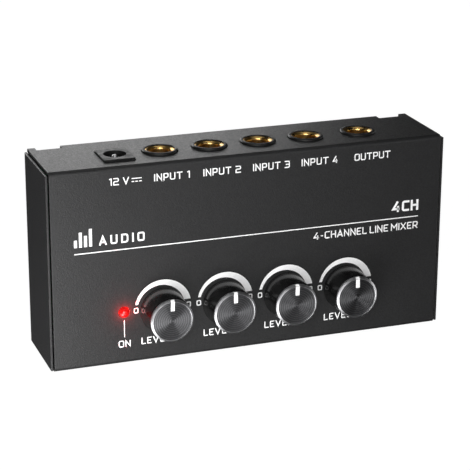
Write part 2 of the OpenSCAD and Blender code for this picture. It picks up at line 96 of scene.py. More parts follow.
def add_camera():
    data = bpy.data.cameras.new("camera")
    data.sensor_width = SENSOR_WIDTH
    data.lens = CAMERA_LENS
    data.clip_start, data.clip_end = CLIP
    camera = bpy.data.objects.new("camera", data)
    back = direction(CAMERA_AZIMUTH, CAMERA_ELEVATION)
    camera.location = AIM + back * CAMERA_DISTANCE
    camera.rotation_euler = (-back).to_track_quat("-Z", "Y").to_euler()
    camera.rotation_euler.rotate_axis("Z", math.radians(CAMERA_ROLL))
    bpy.context.scene.collection.objects.link(camera)
    bpy.context.scene.camera = camera


def add_area(name, place, aim, size, power, size_y=None):
    """A white panel of light, square unless its second size is given, that the camera doesn't see."""
    data = bpy.data.lights.new(name, "AREA")
    data.energy = power
    data.shape = "RECTANGLE"
    data.size = size
    data.size_y = size_y or size
    light = bpy.data.objects.new(name, data)
    light.location = place
    light.rotation_euler = (Vector(aim) - Vector(place)).to_track_quat("-Z", "Y").to_euler()
    light.visible_camera = False
    bpy.context.scene.collection.objects.link(light)


def white_stage(name, mesh, glow, tone):
    """A pale surface that only the camera sees, so that it adds no light to the object."""
    stage = bpy.data.objects.new(name, mesh)
    bpy.context.scene.collection.objects.link(stage)
    material = bpy.data.materials.new(name)
    material.use_nodes = True
    shader = material.node_tree.nodes["Principled BSDF"]
    shader.inputs["Base Color"].default_value = (tone, tone, tone, 1)
    shader.inputs["Roughness"].default_value = 1
    shader.inputs["Specular IOR Level"].default_value = 0
    shader.inputs["Emission Color"].default_value = (1, 1, 1, 1)
    shader.inputs["Emission Strength"].default_value = glow
    mesh.materials.append(material)
    stage.visible_diffuse = False
    stage.visible_glossy = False
    stage.visible_transmission = False
    stage.visible_shadow = False


def add_stage():
    """White floor just under the case, and a white backdrop all round."""
    floor = bpy.data.meshes.new("floor")
    corners = [(x * FLOOR_HALF, y * FLOOR_HALF) for x, y in ((-1, -1), (1, -1), (1, 1), (-1, 1))]
    floor.from_pydata([(x, y, -FLOOR_DROP) for x, y in corners], [], [(0, 1, 2, 3)])
    white_stage("floor", floor, glow=0.97, tone=0.1)
    dome = bmesh.new()
    bmesh.ops.create_icosphere(dome, subdivisions=4, radius=BACKDROP_RADIUS)
    backdrop = bpy.data.meshes.new("backdrop")
    dome.to_mesh(backdrop)
    dome.free()
    white_stage("backdrop", backdrop, glow=1.0, tone=0.0)


def set_range(node, start, end, low, high):
    """Makes a Map Range node read start to end and give low to high."""
    for socket, value in enumerate((start, end, low, high), 1):
        node.inputs[socket].default_value = value


def add_world():
    """Faint light from all round, a little stronger from below."""
    world = bpy.data.worlds.new("studio")
    bpy.context.scene.world = world
    world.use_nodes = True
    nodes, links = world.node_tree.nodes, world.node_tree.links
    spot = nodes.new("ShaderNodeTexCoord")
    axes = nodes.new("ShaderNodeSeparateXYZ")
    links.new(spot.outputs["Generated"], axes.inputs[0])
    fade = nodes.new("ShaderNodeMapRange")
    set_range(fade, -HORIZON, HORIZON, FLOOR_GLOW, CEILING_GLOW)
    links.new(axes.outputs["Z"], fade.inputs[0])
    links.new(fade.outputs[0], nodes["Background"].inputs["Strength"])


def add_lights():
    """Studio: a fill by the camera, softboxes low at the front and left, and cards behind.

    Places and sizes are in metres, and powers in watts.
    """
    foot_left = Vector((SHELL_LOW.x, 0, 0.01))
    add_area("fill", direction(-26, 24) * 0.55, (-0.01, 0, CENTRE_Z), 0.28, 1.75)
    add_area("softbox", (-0.10, -0.12, -0.02), (-0.03, 0, 0.02), 0.12, 0.235)
    add_area("front_low", direction(8, -20) * 0.5, (0, 0, CENTRE_Z), 0.25, 0.15, size_y=0.16)
    add_area("left_low", direction(-80, -36) * 0.24, foot_left, 0.25, 0.95, size_y=0.2)
    add_area("overhead", (0, 0.05, 0.7), (0, 0, TOP_Z), 0.5, 0.5, size_y=0.3)
    add_area("back_card", (0.06, 0.95, 0.30), (0, 0, TOP_Z), 0.6, 1.75, size_y=0.4)
    add_area("back_side", (-0.3, 0.95, 0.30), (0, 0, TOP_Z), 0.5, 2.4, size_y=0.4)
    # the right end and the rear, which the photograph's view doesn't show
    add_area("right_card", direction(97, -5) * 0.6, (SHELL_HIGH.x, 0, CENTRE_Z), 0.45, 1.6)
    add_area("rear_card", direction(142, -16) * 0.6, (0, SHELL_HIGH.y, CENTRE_Z), 0.45, 2.6)
    # narrow highlights on the knobs and the top
    add_area("strip", direction(12, 32) * 0.85, (0, 0, TOP_Z), 0.7, 0.4, size_y=0.14)
    add_area("horizon", direction(12, 8) * 0.8, (0, 0, TOP_Z), 0.5, 0.4, size_y=0.05)


# ---------- material helpers ----------

NOISE_SPAN = (0.3, 0.7)         # where most of a noise texture's values lie


class Surface:
    """One procedural material: a Principled shader and the nodes that feed it."""

    def __init__(self, name, colour, roughness, metallic=0.0):
        self.material = bpy.data.materials.new(name)
        self.material.use_nodes = True
        self.tree = self.material.node_tree
        self.shader = self.tree.nodes["Principled BSDF"]
        self.coordinates = self.tree.nodes.new("ShaderNodeTexCoord").outputs["Object"]
        self.set("Base Color", (*colour, 1))
        self.set("Roughness", roughness)
        self.set("Metallic", metallic)
        self.normal = None

    def set(self, socket, value):
        self.shader.inputs[socket].default_value = value

    def node(self, kind, **values):
        """A node with those properties, or inputs where it has no such property."""
        made = self.tree.nodes.new(kind)
        for key, value in values.items():
            if hasattr(made, key):
                setattr(made, key, value)
            else:
                made.inputs[key.replace("_", " ")].default_value = value
        return made

    def link(self, output, target):
        self.tree.links.new(output, target)

    def noise(self, scale, detail=3.0, roughness=0.55, coordinates=None):
        made = self.node("ShaderNodeTexNoise", Scale=scale, Detail=detail, Roughness=roughness)
        self.link(coordinates or self.coordinates, made.inputs["Vector"])
        return made.outputs["Fac"]

    def cells(self, scale):
        made = self.node("ShaderNodeTexVoronoi", feature="SMOOTH_F1", Scale=scale, Smoothness=0.6)
        self.link(self.coordinates, made.inputs["Vector"])
        return made.outputs["Distance"]

    def between(self, factor, low, high, start=0.0, end=1.0):
        """factor, read from start to end, as a number from low to high."""
        made = self.node("ShaderNodeMapRange")
        set_range(made, start, end, low, high)
        self.link(factor, made.inputs[0])
        return made.outputs[0]

    def mix(self, factor, a, b):
        """Colour a where factor is 0 and b where it is 1. Each is a colour or an output."""
        made = self.tree.nodes.new("ShaderNodeMix")
        made.data_type = "RGBA"
        self.feed(factor, made.inputs[0])
        self.feed(a, made.inputs[6])
        self.feed(b, made.inputs[7])
        return made.outputs[2]

    def feed(self, value, target):
        """Gives target an output, a colour or a number."""
        if isinstance(value, bpy.types.NodeSocket):
            self.link(value, target)
        elif isinstance(value, tuple) and len(value) == 3:
            target.default_value = (*value, 1)
        else:
            target.default_value = value

    def calculate(self, operation, a, b=0.0):
        made = self.node("ShaderNodeMath", operation=operation)
        self.feed(a, made.inputs[0])
        self.feed(b, made.inputs[1])
        return made.outputs[0]

    def bump(self, height, depth, strength):
        """Adds relief of that depth in metres over whatever relief there is."""
        made = self.node("ShaderNodeBump", Strength=strength, Distance=depth)
        self.link(height, made.inputs["Height"])
        if self.normal:
            self.link(self.normal, made.inputs["Normal"])
        self.normal = made.outputs["Normal"]
        self.link(self.normal, self.shader.inputs["Normal"])

    def soft_edges(self, radius):
        """Shades the edges as if they were rounded. It comes before any bump."""
        made = self.node("ShaderNodeBevel", Radius=radius)
        made.samples = 6
        self.normal = made.outputs["Normal"]
        self.link(self.normal, self.shader.inputs["Normal"])

    def mottle(self, colour, share, scale):
        """Base colour that varies by share either way."""
        dark = tuple(c * (1 - share) for c in colour)
        light = tuple(min(1, c * (1 + share)) for c in colour)
        spread = self.between(self.noise(scale), 0, 1, *NOISE_SPAN)
        self.link(self.mix(spread, dark, light), self.shader.inputs["Base Color"])

    def rough(self, low, high, scale):
        """Roughness that varies from low to high."""
        made = self.between(self.noise(scale), low, high, *NOISE_SPAN)
        self.link(made, self.shader.inputs["Roughness"])


# ---------- materials ----------

PAINT = (0.015, 0.015, 0.0155)
RING_PITCH = 0.64               # turned rings of a knob's face, in millimetres


def powder_coat(name):
    """Charcoal powder coat: fine orange peel, grain and a little colour variation."""
    surface = Surface(name, PAINT, 0.4)
    surface.set("Specular IOR Level", 0.45)
    surface.soft_edges(0.24 * MM)
    surface.mottle(PAINT, 0.25, 2400)
    surface.rough(0.3, 0.5, 2600)
    surface.bump(surface.cells(2600), 0.05 * MM, 0.6)
    surface.bump(surface.noise(5200, 4), 0.03 * MM, 0.45)
    return surface.material


def gloss_black(name):
    """Polished moulding of the knobs."""
    tone = (0.004, 0.004, 0.004)
    roughness = 0.16
    surface = Surface(name, tone, roughness)
    surface.set("Specular IOR Level", 0.25)
    surface.mottle(tone, 0.3, 250)
    surface.rough(roughness * 0.8, roughness * 1.5, 420)
    surface.bump(surface.noise(180, 2), 0.01 * MM, 0.12)
    return surface.material


def moulded_black(name, tone, roughness):
    """Satin moulding of the sockets."""
    surface = Surface(name, (tone,) * 3, roughness)
    surface.set("Specular IOR Level", 0.3)
    surface.soft_edges(0.12 * MM)
    surface.mottle((tone,) * 3, 0.25, 700)
    surface.rough(roughness * 0.8, roughness * 1.3, 900)
    surface.bump(surface.noise(3200, 3), 0.01 * MM, 0.3)
    return surface.material


def spun_metal(name):
    """Dark spun aluminium with a stretched highlight, and a painted sheen of lighter and darker rings
    round the face.
    """
    tone = (0.12, 0.12, 0.125)
    surface = Surface(name, tone, 0.28, 1.0)
    surface.set("Anisotropic", 0.95)
    surface.set("Anisotropic Rotation", 0.25)
    tangent = surface.node("ShaderNodeTangent", direction_type="UV_MAP", uv_map="spin")
    surface.link(tangent.outputs[0], surface.shader.inputs["Tangent"])
    uv = surface.node("ShaderNodeUVMap", uv_map="spin")
    stretch = surface.node("ShaderNodeMapping")
    stretch.inputs["Scale"].default_value = (3, 90, 1)
    surface.link(uv.outputs[0], stretch.inputs["Vector"])
    lines = surface.noise(1, 4, 0.6, stretch.outputs[0])
    # painted sheen: darker and lighter rings in the colour, standing in for the light that the turned
    # grooves catch (their relief is real, in the cap's shape), plus the uneven tone of the lines
    across = surface.node("ShaderNodeSeparateXYZ")
    surface.link(uv.outputs[0], across.inputs[0])
    phase = surface.calculate("MULTIPLY", across.outputs["Y"], 2 * math.pi / RING_PITCH)
    painted_ring_sheen = surface.between(surface.calculate("SINE", phase), 0, 0.65, -1, 1)
    uneven = surface.between(lines, 0, 0.35, *NOISE_SPAN)
    dark = tuple(0.6 * c for c in tone)
    light = tuple(1.5 * c for c in tone)
    sheen_and_grain = surface.mix(surface.calculate("ADD", painted_ring_sheen, uneven), dark, light)
    surface.link(sheen_and_grain, surface.shader.inputs["Base Color"])
    surface.link(surface.between(lines, 0.24, 0.4, *NOISE_SPAN), surface.shader.inputs["Roughness"])
    surface.bump(lines, 0.012 * MM, 0.5)
    return surface.material


def metal(name, colour, low, high, grain=900, relief=0.006, edge=0.1):
    """Metal of roughness low to high. grain is per metre; relief and soft edge are in millimetres."""
    surface = Surface(name, colour, low, 1.0)
    if edge:
        surface.soft_edges(edge * MM)
    surface.mottle(colour, 0.08, grain / 4)
    surface.rough(low, high, grain / 2)
    surface.bump(surface.noise(grain, 4), relief * MM, 0.4)
    return surface.material


def plastic(name, colour, low, high, grain=900, share=0.08, relief=0.01):
    """Plastic of roughness low to high, whose colour varies by share."""
    surface = Surface(name, colour, low)
    surface.soft_edges(0.1 * MM)
    surface.mottle(colour, share, grain / 4)
    surface.rough(low, high, grain / 2)
    surface.bump(surface.noise(grain, 3), relief * MM, 0.4)
    return surface.material


def ink(name):
    """White screen print, slightly uneven."""
    tone = (0.93, 0.93, 0.93)
    surface = Surface(name, tone, 0.5)
    surface.mottle(tone, 0.03, 1400)
    surface.rough(0.4, 0.6, 1200)
    surface.bump(surface.noise(2600, 3), 0.01 * MM, 0.25)
    return surface.material


def lit_lens(name):
    """Red lens of the lit lamp."""
    red = (0.55, 0.004, 0.004)
    surface = Surface(name, red, 0.16)
    surface.mottle(red, 0.15, 900)
    surface.rough(0.1, 0.22, 700)
    surface.set("Emission Color", (1, 0.015, 0.012, 1))
    surface.set("Emission Strength", 0.32)
    surface.bump(surface.noise(600, 2), 0.01 * MM, 0.2)
    return surface.material


def board_mask(name):
    """Green varnish of the circuit board."""
    green = (0.02, 0.13, 0.05)
    surface = Surface(name, green, 0.3)
    surface.mottle(green, 0.2, 300)
    surface.rough(0.25, 0.4, 500)
    surface.bump(surface.cells(450), 0.02 * MM, 0.3)
    return surface.material


MATERIALS = {
    "case_paint": powder_coat("case_paint"),
    "foot_rubber": plastic("foot_rubber", (0.018, 0.018, 0.018), 0.7, 0.9, 1500, 0.2, 0.03),
    "screw_black": metal("screw_black", (0.09, 0.09, 0.095), 0.3, 0.45),
    "pillar_metal": metal("pillar_metal", (0.62, 0.62, 0.6), 0.25, 0.4),
    "board_green": board_mask("board_green"),
    "jack_plastic": moulded_black("jack_plastic", 0.010, 0.42),
    "jack_gold": metal("jack_gold", (0.80, 0.52, 0.18), 0.24, 0.34, 700, 0.004, 0),
    "contact_metal": metal("contact_metal", (0.78, 0.62, 0.34), 0.2, 0.35),
    "pin_metal": metal("pin_metal", (0.86, 0.86, 0.86), 0.3, 0.4, 700, 0.003, 0),
    "pot_metal": metal("pot_metal", (0.5, 0.5, 0.5), 0.25, 0.45),
    "track_board": plastic("track_board", (0.24, 0.12, 0.05), 0.5, 0.7),
    "shaft_metal": metal("shaft_metal", (0.7, 0.7, 0.7), 0.2, 0.35),
    "knob_black": gloss_black("knob_black"),
    "cap_metal": spun_metal("cap_metal"),
    "cap_ring": metal("cap_ring", (0.36, 0.36, 0.37), 0.36, 0.46, 1800, 0.003, 0),
    "pointer_white": ink("pointer_white"),
    "led_red": lit_lens("led_red"),
    "spacer_nylon": plastic("spacer_nylon", (0.75, 0.74, 0.68), 0.4, 0.6),
    "chip_black": plastic("chip_black", (0.02, 0.02, 0.02), 0.5, 0.7, 1800, 0.15),
    "can_sleeve": plastic("can_sleeve", (0.02, 0.03, 0.09), 0.25, 0.35),
    "film_case": plastic("film_case", (0.4, 0.05, 0.035), 0.3, 0.42),
    "resistor_body": plastic("resistor_body", (0.55, 0.43, 0.24), 0.35, 0.5),
}
PRINT = ink("print")


def paint_cad_nodes():
    """Gives each CAD node the material of its slot in the record."""
    for entry in frame["record"]["subparts"]:
        mesh = frame["nodes"][entry["node"]].data
        mesh.materials.clear()
        mesh.materials.append(MATERIALS[entry["material_slot"]])


# ---------- geometry helpers ----------

CREASE = math.radians(35)       # sharper edges than this stay sharp
TINY = 1e-9


def add_piece(name, bm, materials, body, replaces=()):
    """Makes a mesh into a piece that rides on body."""
    bmesh.ops.recalc_face_normals(bm, faces=bm.faces)
    mesh = bpy.data.meshes.new(name)
    bm.to_mesh(mesh)
    bm.free()
    for material in materials:
        mesh.materials.append(material)
    mesh.shade_smooth()
    mesh.set_sharp_from_angle(angle=CREASE)
    piece = bpy.data.objects.new(name, mesh)
    bpy.context.scene.collection.objects.link(piece)
    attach(piece, body)
    if replaces:
        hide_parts(*replaces)
    return piece


def rounded(points, steps=4):
    """Line of 2-D points. A third value on a point is the radius that its corner is rounded to."""
    made = [Vector(points[0][:2])]
    for before, here, after in zip(points, points[1:], points[2:]):
        r = here[2] if len(here) > 2 else 0
        p = Vector(here[:2])
        a, b = Vector(before[:2]) - p, Vector(after[:2]) - p
        half = a.angle(b) / 2
        reach = min(r / math.tan(half), 0.49 * a.length, 0.49 * b.length) if r else 0
        if reach < TINY or half > math.radians(89):
            made.append(p)
            continue
        start, end = p + a.normalized() * reach, p + b.normalized() * reach
        for k in range(steps + 1):
            t = k / steps
            made.append(start * (1 - t) ** 2 + p * 2 * t * (1 - t) + end * t**2)
    made.append(Vector(points[-1][:2]))
    return made


def lathe(bm, origin, profile, segments, material=lambda r, h: 0, uv=None):
    """Turns a profile of (radius, height) round the axis that leaves origin towards the front.

    A radius of 0 closes to a point. material gives a face's material from its middle. The map
    named uv holds the turn from 0 to 1 and the radius in millimetres.
    """
    rings = []
    for r, h in profile:
        centre = origin + Vector((0, -h, 0))
        if r < TINY:
            rings.append([bm.verts.new(centre)])
            continue
        turns = [2 * math.pi * k / segments for k in range(segments)]
        rings.append([bm.verts.new(centre + Vector((math.cos(a), 0, math.sin(a))) * r) for a in turns])
    layer = bm.loops.layers.uv.new(uv) if uv else None
    for (r0, h0), (r1, h1), a, b in zip(profile, profile[1:], rings, rings[1:]):
        for k in range(segments):
            n = (k + 1) % segments
            corners = [(a, k), (a, n), (b, n), (b, k)]
            spots = []
            for ring, at in corners:
                vertex = ring[at] if len(ring) > 1 else ring[0]
                if vertex not in [spot[0] for spot in spots]:
                    turn = k + 1 if at == n else k
                    spots.append((vertex, turn / segments, (r0 if ring is a else r1)))
            if len(spots) < 3:
                continue
            face = bm.faces.new([spot[0] for spot in spots])
            face.material_index = material((r0 + r1) / 2, (h0 + h1) / 2)
            if layer:
                for loop, (_, u, r) in zip(face.loops, spots):
                    loop[layer].uv = (u, r / MM)


def slab(bm, outline, place, thick):
    """Closed plate with that outline. place(u, v, depth) gives where a point of it goes."""
    count = len(outline)
    front = [bm.verts.new(place(u, v, thick)) for u, v in outline]
    back = [bm.verts.new(place(u, v, 0)) for u, v in outline]
    bm.faces.new(front)
    bm.faces.new(list(reversed(back)))
    for k in range(count):
        n = (k + 1) % count
        bm.faces.new((front[k], back[k], back[n], front[n]))


# ---------- printing ----------

INK = 0.03 * MM                 # thickness of the print
INK_SUNK = 0.002 * MM           # how far it reaches into the paint
MITRE_LIMIT = 0.35              # a mitre grows no longer than at this cosine


def on_panel(x, z):
    """Placing function for print on the control panel, round a point of it."""
    return lambda u, v, depth: Vector((x + u, PANEL_Y + INK_SUNK - depth, z + v))


def ribbon(points, width):
    """Left and right edges of a stroke along points, with mitred corners, and whether it is a loop."""
    points = [Vector(p) for p in points]
    closed = (points[0] - points[-1]).length < TINY
    if closed:
        points = points[:-1]
    count = len(points)
    left, right = [], []
    for k, p in enumerate(points):
        ways = []
        if k or closed:
            ways.append((p - points[k - 1]).normalized())
        if k < count - 1 or closed:
            ways.append((points[(k + 1) % count] - p).normalized())
        normals = [Vector((-way.y, way.x)) for way in ways]
        normal = sum(normals, Vector((0, 0))).normalized()
        reach = width / 2 / max(MITRE_LIMIT, normal.dot(normals[0]))
        left.append(p + normal * reach)
        right.append(p - normal * reach)
    return left, right, closed


def stroke(bm, points, width, place):
    """Raised stroke, closed on all sides."""
    left, right, closed = ribbon(points, width)
    count = len(left)
    spans = count if closed else count - 1
    # each side holds its raised points and then its sunk ones
    a, b = [
        [bm.verts.new(place(p.x, p.y, depth)) for depth in (INK, 0) for p in side]
        for side in (left, right)
    ]
    for k in range(spans):
        n = (k + 1) % count
        bm.faces.new((a[k], a[n], b[n], b[k]))
        bm.faces.new((a[count + k], b[count + k], b[count + n], a[count + n]))
        bm.faces.new((a[k], a[count + k], a[count + n], a[n]))
        bm.faces.new((b[k], b[n], b[count + n], b[count + k]))
    if not closed:
        for k in (0, count - 1):
            bm.faces.new((a[k], b[k], b[count + k], a[count + k]))


# Letters are strokes on a grid, 0 to 1 across and 0 to 1 up. The number before the strokes is
# the letter's whole width, as a share of its height. A third value on a point is its corner's
# radius, as a share of the height less one stroke's width.
ROUND = 0.2
GLYPHS = {
    "0": (0.85, [[(0, 0.5), (0, 1, ROUND), (1, 1, ROUND), (1, 0, ROUND), (0, 0, ROUND), (0, 0.5)]]),
    "1": (0.42, [[(0, 0.87), (0.6, 1, 0), (1, 1, 0), (1, 0)]]),
    "2": (0.78, [[(0, 1), (1, 1, ROUND), (1, 0.52, ROUND), (0, 0.52, ROUND), (0, 0, 0), (1, 0)]]),
    "3": (0.76, [[(0, 1), (1, 1, ROUND), (1, 0, ROUND), (0, 0)], [(0.15, 0.5), (0.9, 0.5)]]),
    "4": (0.80, [[(0.62, 1), (0, 0.24, 0), (1, 0.24)], [(0.76, 0), (0.76, 0.58)]]),
    "A": (0.82, [[(0, 0), (0.5, 1, 0), (1, 0)], [(0.22, 0.27), (0.78, 0.27)]]),
    "C": (0.72, [[(1, 1), (0, 1, ROUND), (0, 0, ROUND), (1, 0)]]),
    "D": (0.78, [[(0, 0.5), (0, 1, 0), (1, 1, 0.3), (1, 0, 0.3), (0, 0, 0), (0, 0.5)]]),
    "E": (0.66, [[(1, 1), (0, 1, ROUND / 2), (0, 0, ROUND / 2), (1, 0)], [(0.1, 0.5), (0.88, 0.5)]]),
    "H": (0.75, [[(0, 0), (0, 1)], [(1, 0), (1, 1)], [(0.1, 0.5), (0.9, 0.5)]]),
    "I": (0.0, [[(0, 0), (0, 1)]]),
    "L": (0.64, [[(0, 1), (0, 0, ROUND / 2), (1, 0)]]),
    "M": (0.94, [[(0, 0), (0, 1, 0), (0.5, 0.38, 0), (1, 1, 0), (1, 0)]]),
    "N": (0.76, [[(0, 0), (0, 1, 0), (1, 0, 0), (1, 1)]]),
    "O": (0.78, [[(0, 0.5), (0, 1, ROUND), (1, 1, ROUND), (1, 0, ROUND), (0, 0, ROUND), (0, 0.5)]]),
    "P": (0.72, [[(0, 0), (0, 1, 0), (1, 1, ROUND), (1, 0.4, ROUND), (0.1, 0.4)]]),
    "R": (0.74, [[(0, 0), (0, 1, 0), (1, 1, ROUND), (1, 0.4, ROUND), (0.1, 0.4)], [(0.5, 0.34), (1, 0)]]),
    "T": (0.80, [[(0, 1), (1, 1)], [(0.5, 0), (0.5, 0.93)]]),
    "U": (0.76, [[(0, 1), (0, 0, ROUND), (1, 0, ROUND), (1, 1)]]),
    "V": (0.84, [[(0, 1), (0.5, 0, 0), (1, 1)]]),
    "X": (0.80, [[(0, 0), (1, 1)], [(0, 1), (0.46, 0.54)], [(0.54, 0.46), (1, 0)]]),
    "-": (0.46, [[(0, 0.44), (1, 0.44)]]),
}

# proportions of the lettering, as shares of its height
WORD_GAP = 0.62
GAP = 0.19
STROKE = 0.15


def letter_width(letter, weight):
    """A letter's width, which is no less than its stroke's, as a share of its height."""
    return max(GLYPHS[letter][0], weight)


def text_width(words, height, weight, gap=GAP, word_gap=WORD_GAP):
    """Length of a line of lettering, in metres."""
    steps = [word_gap if c == " " else letter_width(c, weight) for c in words]
    gaps = [gap for c, n in zip(words, words[1:]) if " " not in (c, n)]
    return height * (sum(steps) + sum(gaps))


def lettering(bm, words, x, z, height, weight=STROKE, gap=GAP, word_gap=WORD_GAP):
    """Draws words from x to the right, standing on z, and returns where they end.

    weight is the stroke's share of the height.
    """
    width = weight * height
    at = x
    for k, letter in enumerate(words):
        if letter == " ":
            at += word_gap * height
            continue
        span = letter_width(letter, weight) * height - width
        rise = height - width
        for points in GLYPHS[letter][1]:
            drawn = [
                (width / 2 + u * span, width / 2 + v * rise, corner[0] * rise if corner else 0)
                for u, v, *corner in points
            ]
            line = rounded(drawn, 5)
            if drawn[0][:2] != drawn[-1][:2]:
                # a stroke that ends on the top or bottom line reaches the full height
                for end, inner in ((0, 1), (-1, -2)):
                    if points[end][1] in (0, 1):
                        way = (line[end] - line[inner]).normalized()
                        line[end] = line[end] + way * width / 2
            stroke(bm, line, width, on_panel(at, z))
        at += span + width
        if k + 1 < len(words) and words[k + 1] != " ":
            at += gap * height
    return at


def print_piece(name, draw):
    """White print on the case."""
    bm = bmesh.new()
    draw(bm)
    add_piece(name, bm, [PRINT], "root")


LABEL_HEIGHT = 2.1 * MM
LABEL_LOW = TOP_Z - 5.25 * MM
SUPPLY_LEFT = 4.85 * MM         # from the inlet's middle
SUPPLY_LINE_WIDTH = 0.26 * MM
LEVEL_HEIGHT = 2.05 * MM
LEVEL_LOW = 5.25 * MM
LEVEL_LEFT = 6.6 * MM           # from the scale's middle
ON_LOW = LEVEL_LOW - 0.15 * MM
LAMP_LINE = (8.1 * MM, 13.3 * MM)
LAMP_LINE_WIDTH = 0.24 * MM
RULE_Z = 34.75 * MM
RULE_HALF = 52.5 * MM
RULE_WIDTH = 0.28 * MM
TITLE_HEIGHT = 2.2 * MM
TITLE_DROP = 3.8 * MM           # from the rule down to the title's foot
MARK_RISE = 1.9 * MM            # from the rule up to the foot of what stands on it
KIND_HEIGHT = 3.3 * MM
WORD_HEIGHT = 2.7 * MM
WORD_LEFT = 7.2 * MM            # from the rule's left end
BAR_WIDTH = 0.85 * MM
BAR_PITCH = 1.45 * MM
BAR_HEIGHTS = (2.2, 4.4, 3.3, 5.2)      # in millimetres


def centred(words, x, z, height, **style):
    """Drawing function for words whose middle is at x."""
    wide = text_width(words, height, style.get("weight", STROKE), style.get("gap", GAP))
    return lambda bm: lettering(bm, words, x - wide / 2, z, height, **style)


def print_labels():
    """Names of the sockets, and the supply's voltage."""
    for i in range(1, CHANNELS + 1):
        x = middle(f"input_jack_{i}_sleeve").x
        print_piece(f"print_input_{i}", centred(f"INPUT {i}", x, LABEL_LOW, LABEL_HEIGHT))
    x = middle("output_jack_sleeve").x
    print_piece("print_output", centred("OUTPUT", x, LABEL_LOW, LABEL_HEIGHT, gap=0.15))

    def supply(bm):
        start = middle("power_jack_body").x - SUPPLY_LEFT
        end = lettering(bm, "12 V", start, LABEL_LOW, LABEL_HEIGHT, word_gap=0.55)
        # direct current: a full line over three dashes
        wide = 2.9 * MM
        dash = wide / 4
        rise = 0.42 * LABEL_HEIGHT
        place = on_panel(end + 0.75 * MM, LABEL_LOW + 0.28 * LABEL_HEIGHT)
        stroke(bm, [(0, rise), (wide, rise)], SUPPLY_LINE_WIDTH, place)
        for k in range(3):
            from_x = k * (wide - dash) / 2
            stroke(bm, [(from_x, 0), (from_x + dash, 0)], SUPPLY_LINE_WIDTH, place)

    print_piece("print_supply", supply)


def print_title():
    """Rule across the panel, with generic words and a plain mark round it."""
    left = CENTRE_X - RULE_HALF
    right = CENTRE_X + RULE_HALF

    def rule(bm):
        stroke(bm, [(-RULE_HALF, 0), (RULE_HALF, 0)], RULE_WIDTH, on_panel(CENTRE_X, RULE_Z))

    def title(bm):
        words = "4-CHANNEL LINE MIXER"
        style = {"height": TITLE_HEIGHT, "weight": 0.15, "gap": 0.16, "word_gap": 0.42}
        lettering(bm, words, right - text_width(words, **style), RULE_Z - TITLE_DROP, **style)

    def kind(bm):
        words = "4CH"
        style = {"height": KIND_HEIGHT, "weight": 0.2, "gap": 0.14}
        lettering(bm, words, right - text_width(words, **style), RULE_Z + MARK_RISE, **style)

    def emblem(bm):
        # plain bars, like a level display, and a plain word
        low = RULE_Z + MARK_RISE
        for k, tall in enumerate(BAR_HEIGHTS):
            outline = [(0, 0), (BAR_WIDTH, 0), (BAR_WIDTH, tall * MM), (0, tall * MM)]
            slab(bm, outline, on_panel(left + k * BAR_PITCH, low), INK)
        lettering(bm, "AUDIO", left + WORD_LEFT, low, WORD_HEIGHT, weight=0.18, gap=0.4)

    for name, draw in (("rule", rule), ("title", title), ("kind", kind), ("emblem", emblem)):
        print_piece(f"print_{name}", draw)


# Scale round each level control: a band between two arcs that grows from left to right
SCALE_OUT = 8.45 * MM
SCALE_IN = 7.1 * MM
SCALE_SHIFT = Vector((-0.6, -0.2)) * MM      # the inner arc's centre, from the outer one's
SCALE_LOW = 1.7 * MM                         # how far above the centre the band's ends are
SCALE_OFFSET = Vector((0.2, 0.6)) * MM       # the print's centre, from the control's axis
ZERO_LEFT = 8.05 * MM                        # from the print's centre to the middle of each figure
TEN_RIGHT = 7.2 * MM
DIGIT_HEIGHT = 1.65 * MM
DIGIT_WEIGHT = 0.19


def scale_band(bm, place):
    """Raised band of a scale, round the point that place puts at 0, 0."""
    steps = 64

    def arc(centre, radius):
        end = math.asin((SCALE_LOW - centre.y) / radius)
        for k in range(steps + 1):
            a = math.pi - end - (math.pi - 2 * end) * k / steps
            yield centre + Vector((math.cos(a), math.sin(a))) * radius

    outer = list(arc(Vector((0, 0)), SCALE_OUT))
    inner = list(arc(SCALE_SHIFT, SCALE_IN))
    out_front, out_back, in_front, in_back = [
        [bm.verts.new(place(p.x, p.y, depth)) for p in side]
        for side in (outer, inner)
        for depth in (INK, 0)
    ]
    for k in range(steps):
        bm.faces.new((out_front[k], out_front[k + 1], in_front[k + 1], in_front[k]))
        bm.faces.new((out_back[k], in_back[k], in_back[k + 1], out_back[k + 1]))
        bm.faces.new((out_front[k], out_back[k], out_back[k + 1], out_front[k + 1]))
        bm.faces.new((in_front[k], in_front[k + 1], in_back[k + 1], in_back[k]))
    for k in (0, steps):
        bm.faces.new((out_front[k], in_front[k], in_back[k], out_back[k]))


def print_scales():
    """Band, figures and name of each level control."""
    for i in range(1, CHANNELS + 1):
        knob = middle(f"level_knob_{i}")
        x, z = knob.x + SCALE_OFFSET.x, knob.z + SCALE_OFFSET.y

        def draw(bm, x=x, z=z):
            scale_band(bm, on_panel(x, z))
            low = z - DIGIT_HEIGHT / 2
            centred("0", x - ZERO_LEFT, low, DIGIT_HEIGHT, weight=DIGIT_WEIGHT)(bm)
            centred("10", x + TEN_RIGHT, low, DIGIT_HEIGHT, weight=DIGIT_WEIGHT, gap=0.15)(bm)

        print_piece(f"print_scale_{i}", draw)
        print_piece(
            f"print_level_{i}",
            lambda bm, x=x: lettering(bm, "LEVEL", x - LEVEL_LEFT, LEVEL_LOW, LEVEL_HEIGHT, gap=0.2),
        )


def print_lamp():
    """ON, with a line up to the lamp."""
    spot = middle("power_led")

    def draw(bm):
        low, high = LAMP_LINE
        stroke(bm, [(0, low), (0, high)], LAMP_LINE_WIDTH, on_panel(spot.x, 0))
        centred("ON", spot.x, ON_LOW, LEVEL_HEIGHT)(bm)

    print_piece("print_on", draw)


# ---------- knobs ----------

